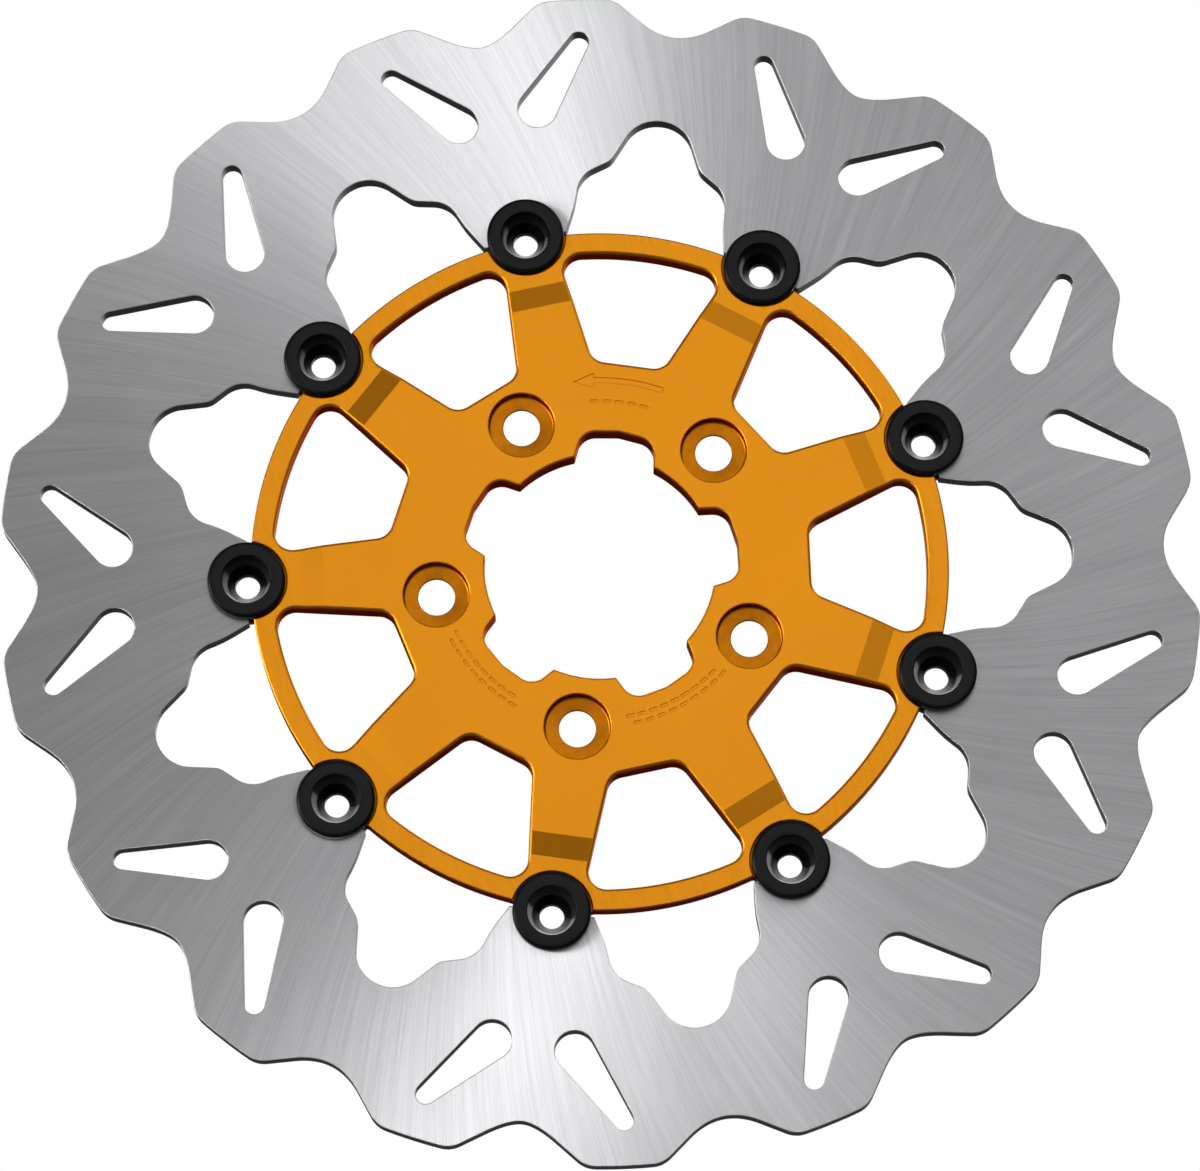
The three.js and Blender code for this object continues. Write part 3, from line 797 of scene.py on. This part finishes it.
def make_carrier():
    shell = Shell()
    front, back = [], []

    # Rim and spot faces: one loop in front of the lands, with the crescents below it.
    run, is_rim, crescents = [], [], []
    for i in range(STATIONS):
        angle = DOWN + i * PITCH
        inner, pocket = crescent_parts(angle)
        crescents.append((inner, pocket))
        run.append(inner[::-1])
        is_rim += [False] * (len(inner) - 1) + [True]
        start, end = angle + SPOT_CORNER, angle + PITCH - SPOT_CORNER
        rim = arc((0, 0), RIM_OUTER, start, end, 1.2)[1:-1]
        run.append(rim)
        is_rim += [True] * len(rim)
    loop = np.concatenate(run)
    on_spot = ~np.array(is_rim)
    weight = np.where(on_spot | np.roll(on_spot, 1), 0.0, 1.0)
    f, _ = wall(shell, loop, rounding(RIM_EDGE, BODY_FRONT, mark=True), slot=0, shape=front_drop)
    low = RIM_FRONT - RIM_EDGE
    wall(shell, loop, [(0, low), (0, SEAT_LEVEL)], slot=1)
    steps = [(0, SEAT_LEVEL), *rounding_back(BACK_EDGE, HUB_FACE)]
    _, b = wall(shell, loop, steps, slot=1, stretches=is_rim, weight=weight)
    front.append(f)
    back.append(b)
    for inner, pocket in crescents:
        ring = np.concatenate([inner, pocket])
        in_pocket = [i >= len(inner) - 1 for i in range(len(ring))]
        cap(shell, [ring], SEAT_LEVEL, 1, slot=1)
        edge = rounding_back(PAD_EDGE, BLADE_BACK)
        wall(shell, ring, [(0, SEAT_LEVEL), *edge], slot=1, stretches=in_pocket)
        wall(shell, ring, [(0, HUB_FACE), *edge], slot=1, stretches=[not p for p in in_pocket])
        cap(shell, [inset_ring(ring, PAD_EDGE)], BLADE_BACK, -1, slot=0)

    # Windows, each wall rounded at the front and the back.
    windows = []
    for i in range(STATIONS):
        window = ramp_points(turned(hole(window_loop()), DOWN + (i + 0.5) * PITCH), WINDOW_EDGE)
        f, _ = wall(shell, window, rounding(WINDOW_EDGE, BODY_FRONT, 4, mark=True), slot=0, shape=front_drop)
        steps = [(0, BODY_FRONT - WINDOW_EDGE, 1), (0, HUB_FACE + BACK_EDGE)]
        wall(shell, window, steps, slot=1, shape=front_drop)
        _, b = wall(shell, window, rounding_back(BACK_EDGE, HUB_FACE), slot=1)
        windows.append(f)
        front.append(f)
        back.append(b)

    bore = bore_loop()
    f, _ = wall(shell, bore, rounding(BORE_EDGE, BODY_FRONT), slot=0)
    wall(shell, bore, [(0, BODY_FRONT - BORE_EDGE), (0, HUB_FACE + BACK_EDGE)], slot=1)
    _, b = wall(shell, bore, rounding_back(BACK_EDGE, HUB_FACE), slot=1)
    front.append(f)
    back.append(b)

    # Counterbored holes for the hub bolts.
    step = BOLT_SEAT - BOLT_HOLE
    fillet = [
        (-SEAT_FILLET * (1 - math.cos(a)), SEAT_LEVEL + SEAT_FILLET * (1 - math.sin(a)))
        for a in np.linspace(0, math.pi / 2, 5)
    ]
    lip = [(inset - step, level) for inset, level in rounding(SEAT_EDGE, SEAT_LEVEL)]
    flare = [
        (-step, SEAT_LEVEL - SEAT_EDGE), (-step, SEAT_LEVEL - SEAT_EDGE - BOLT_LAND),
        (BOLT_FLARE - BOLT_SEAT, HUB_FACE),
    ]
    for i in range(BOLTS):
        centre = turned([0, BOLT_CIRCLE], DOWN + i * BOLT_PITCH)
        ring = hole(round_loop(centre, BOLT_SEAT, 80))
        f, _ = wall(shell, ring, rounding(SEAT_EDGE, BODY_FRONT), slot=0)
        wall(shell, ring, [(0, BODY_FRONT - SEAT_EDGE), *fillet, *lip], slot=1)
        _, b = wall(shell, ring, flare, slot=1)
        front.append(f)
        back.append(b)

    floor = BODY_FRONT - MARK_DEPTH
    groove = [(MARK_EDGE, BODY_FRONT), (0, BODY_FRONT - MARK_EDGE), (-MARK_DRAFT, floor)]
    for mark in mark_loops():
        f, b = wall(shell, mark, groove, slot=0)
        front.append(f)
        cap(shell, [b[::-1]], floor, 1, slot=0)

    cap(shell, front, BODY_FRONT, 1, shape=front_drop, lines=ramp_lines(windows))
    cap(shell, back, HUB_FACE, -1)
    return shell.build("carrier_surface", [GOLD_FACE, GOLD_EDGE], "carrier", ["carrier"], "gold_anodise")


# ---------------------------------------------------------------- bobbins, washers, clips

# Sections are corners (radius, level, fillet), with the material on the left.
BOBBIN_SECTION = [
    (3.05, -3.7, 0), (3.85, -4.5, 0.15), (6.9, -4.5, 0.25), (6.9, -4.0, 0), (6.1, -4.0, 0), (6.1, -3.0, 0),
    (6.9, -3.0, 0), (6.9, 4.1, 0), (9.7, 4.1, 0.2), (9.7, 7.0, 0.9), (6.1, 7.0, 0.3), (4.9, 1.8, 1.6),
    (3.05, -1.2, 0.5), (3.05, -3.7, 0),
]


def build_on_bobbin(shell, kind, number, material, slot):
    """A piece that rides on its bobbin and replaces the CAD node of the same name."""
    node = f"{kind}_{number}"
    return shell.build(f"{node}_surface", [material], f"bobbin_{number}", [node], slot)


def washer_section(inner, rim, back, front, inner_edge, rim_edge):
    """A flat ring's section, from the middle of its back round by the rim."""
    middle = ((inner + rim) / 2, back, 0)
    rim_corners = [(rim, back, rim_edge), (rim, front, rim_edge)]
    inner_corners = [(inner, front, inner_edge), (inner, back, inner_edge)]
    return [middle, *rim_corners, *inner_corners, middle]


def make_bobbin(number, centre):
    shell = Shell()
    section = filleted(BOBBIN_SECTION, 12)[:-1]
    revolved(shell, centre, section, 96)
    return build_on_bobbin(shell, "drive_bobbin", number, BLACK, "black_anodise")


def make_flat_washer(number, centre):
    shell = Shell()
    run = washer_section(7.2, 9.6, -2.0, -1.5, 0.1, 0.12)
    revolved(shell, centre, filleted(run, 30)[:-1], 72)
    return build_on_bobbin(shell, "flat_washer", number, ZINC, "washer_steel")


WAVES = 3
WAVE_HEIGHT = 0.25


def heading_from(centre, x, y):
    return math.atan2(y - centre[1], x - centre[0])


def make_wave_washer(number, centre, angle):
    shell = Shell()
    run = washer_section(7.3, 9.3, -2.7, -2.4, 0.08, 0.08)
    revolved(shell, centre, filleted(run, 45)[:-1], 96)
    shell.points = [
        (x, y, s + WAVE_HEIGHT * math.cos(WAVES * (heading_from(centre, x, y) - math.radians(angle))))
        for x, y, s in shell.points
    ]
    return build_on_bobbin(shell, "wave_washer", number, SPRING, "spring_steel")


def make_clip(number, centre, angle):
    """An outside circlip with its opening outwards and a drilled lug at each end."""
    inner, rim, thick, back, edge = 6.4, 8.6, 0.8, -3.9, 0.1
    lug, lug_angle, lug_hole = 1.8, 22, 0.75
    reach = inner + lug
    cosine = (reach**2 + rim**2 - lug**2) / (2 * reach * rim)
    shoulder = lug_angle + math.degrees(math.acos(cosine))
    centre_lug = polar(reach, lug_angle)
    start = heading(polar(rim, shoulder) - centre_lug)
    right = arc(centre_lug, lug, start, 270 - lug_angle, 15)[1:-1]
    outside = mirrored(arc((0, 0), rim, 270, 450 - shoulder, 6))
    inside_run = mirrored(arc((0, 0), inner, 270, 450 - lug_angle, 6))[::-1]
    outline = np.concatenate([outside, right, inside_run, (right * [-1, 1])[::-1]])
    loops = [outer(outline)]
    for side in (-1, 1):
        loops.append(hole(round_loop(centre_lug * [side, 1], lug_hole, 24)))
    shell = Shell()
    front, rear = [], []
    for loop in loops:
        loop = turned(loop, angle) + centre
        f, b = wall(shell, loop, [*rounding(edge, back + thick, 2), *rounding_back(edge, back)])
        front.append(f)
        rear.append(b)
    cap(shell, front, back + thick, 1)
    cap(shell, rear, back, -1)
    return build_on_bobbin(shell, "retaining_clip", number, PHOSPHATE, "clip_steel")


make_blade()
make_carrier()
for i in range(STATIONS):
    angle = DOWN + i * PITCH
    centre = turned([0, BOBBIN_CIRCLE], angle)
    make_bobbin(i + 1, centre)
    make_flat_washer(i + 1, centre)
    make_wave_washer(i + 1, centre, angle)
    make_clip(i + 1, centre, angle)

# ---------------------------------------------------------------- studio


LAMP_DISTANCE = 2.2
SIDE_AZIMUTH = 45
SIDE_WIDTH = 2
FLOOR_LEVEL = -0.46
FLOOR_REACH = 12.0
# Name, azimuth, elevation, size in metres and watts; a kicker also has the place it aims at and a spread.
SOFTBOXES = [
    ("front", -2, 14, 0.9, 4.7),
    ("front_up", -2, 38, 0.9, 1.3),
    ("front_right", 24, 14, 0.9, 2.2),
    ("front_high_right", 20, 33, 0.9, 2.0),
    ("front_low_left", -22, -6, 0.8, 2.4),
    ("front_low_right", 20, -6, 0.8, 1.2),
    ("side_left", -50, 0, 0.7, 10.5),
    ("side_left_low", -50, -10, 0.7, 5.5),
    ("far_left_low", -75, -12, 0.7, 15.0),
    ("high_right", 50, 45, 0.7, 1.5),
    ("far_high_right", 75, 55, 0.7, 8.0),
    ("back_right", 150, 25, 1.8, 22.0),
    ("back_left", -145, 35, 1.8, 26.0),
    ("back_top", 180, 62, 1.8, 14.0),
    ("kicker_bottom", -50, -3, 0.5, 0.26, (-0.03, 0.0, -0.13), 16),
    ("kicker_top_left", -38, -18, 0.5, 0.13, (-0.06, 0.0, 0.115), 14),
]


def make_floor():
    """A pale floor that the camera sees; its own glow keeps it pale far off and lights nothing."""
    t = Tree("studio_floor")
    x, y, z = t.place()
    speck = t.noise(t.vector(x, y, z), 0.02, 2.0, 0.5)
    colour = t.mix(speck, (0.36, 0.36, 0.36, 1), (0.4, 0.4, 0.4, 1))
    material = t.finish(Base_Color=colour, Roughness=0.9, Emission_Color=(1, 1, 1, 1), Emission_Strength=0.5)
    material.cycles.emission_sampling = "NONE"
    mesh = bpy.data.meshes.new("studio_floor")
    signs = [(-1, -1), (1, -1), (1, 1), (-1, 1)]
    mesh.from_pydata([(a * FLOOR_REACH, b * FLOOR_REACH, FLOOR_LEVEL) for a, b in signs], [], [(0, 1, 2, 3)])
    mesh.materials.append(material)
    floor = bpy.data.objects.new("studio_floor", mesh)
    bpy.context.scene.collection.objects.link(floor)
    floor.visible_glossy = False
    floor.visible_diffuse = False


def softbox(name, azimuth, elevation, size, watts, aim=(0.0, 0.0, 0.0), spread=180):
    """A lamp facing the disc; azimuth 0 is straight in front, positive to the right. Lamps well
    to the side or behind are wider than they are high."""
    data = bpy.data.lights.new(name, "AREA")
    data.shape = "RECTANGLE"
    data.size = size * (SIDE_WIDTH if abs(azimuth) > SIDE_AZIMUTH else 1)
    data.size_y = size
    data.energy = watts
    data.spread = math.radians(spread)
    lamp = bpy.data.objects.new(name, data)
    bpy.context.scene.collection.objects.link(lamp)
    a, e = math.radians(azimuth), math.radians(elevation)
    away = Vector((math.cos(e) * math.sin(a), -math.cos(e) * math.cos(a), math.sin(e)))
    lamp.location = away * LAMP_DISTANCE
    lamp.rotation_mode = "QUATERNION"
    lamp.rotation_quaternion = (Vector(aim) - lamp.location).to_track_quat("-Z", "Y")


def make_world():
    """White to the camera, and a dim even grey to everything else."""
    world = bpy.data.worlds.new("studio")
    bpy.context.scene.world = world
    world.use_nodes = True
    tree = world.node_tree
    tree.nodes.clear()

    def node(kind, **inputs):
        n = tree.nodes.new("ShaderNode" + kind)
        for key, value in inputs.items():
            socket = n.inputs[int(key[1:])] if key[1:].isdigit() else n.inputs[key]
            if isinstance(value, bpy.types.NodeSocket):
                tree.links.new(value, socket)
            else:
                socket.default_value = value
        return n

    where = node("TexCoord")
    split = node("SeparateXYZ", i0=where.outputs[0])
    ramp = tree.nodes.new("ShaderNodeValToRGB")
    height = node("MapRange", i0=split.outputs[2], i1=-1.0, i2=1.0, i3=0.0, i4=1.0)
    tree.links.new(height.outputs[0], ramp.inputs[0])
    stops = [(0.0, 0.13), (0.47, 0.13), (0.53, 0.15), (1.0, 0.15)]
    elements = ramp.color_ramp.elements
    while len(elements) < len(stops):
        elements.new(0.5)
    for element, (place, value) in zip(elements, stops):
        element.position = place
        element.color = (value, value, value, 1)
    studio = node("Background", i0=ramp.outputs[0], i1=1.0)
    plain = node("Background", i0=(1, 1, 1, 1), i1=1.0)
    path = node("LightPath")
    mix = node("MixShader", i0=path.outputs[0], i1=studio.outputs[0], i2=plain.outputs[0])
    out = tree.nodes.new("ShaderNodeOutputWorld")
    tree.links.new(mix.outputs[0], out.inputs[0])


make_floor()
make_world()
for lamp in SOFTBOXES:
    softbox(*lamp)
bpy.context.scene.view_settings.view_transform = "Standard"
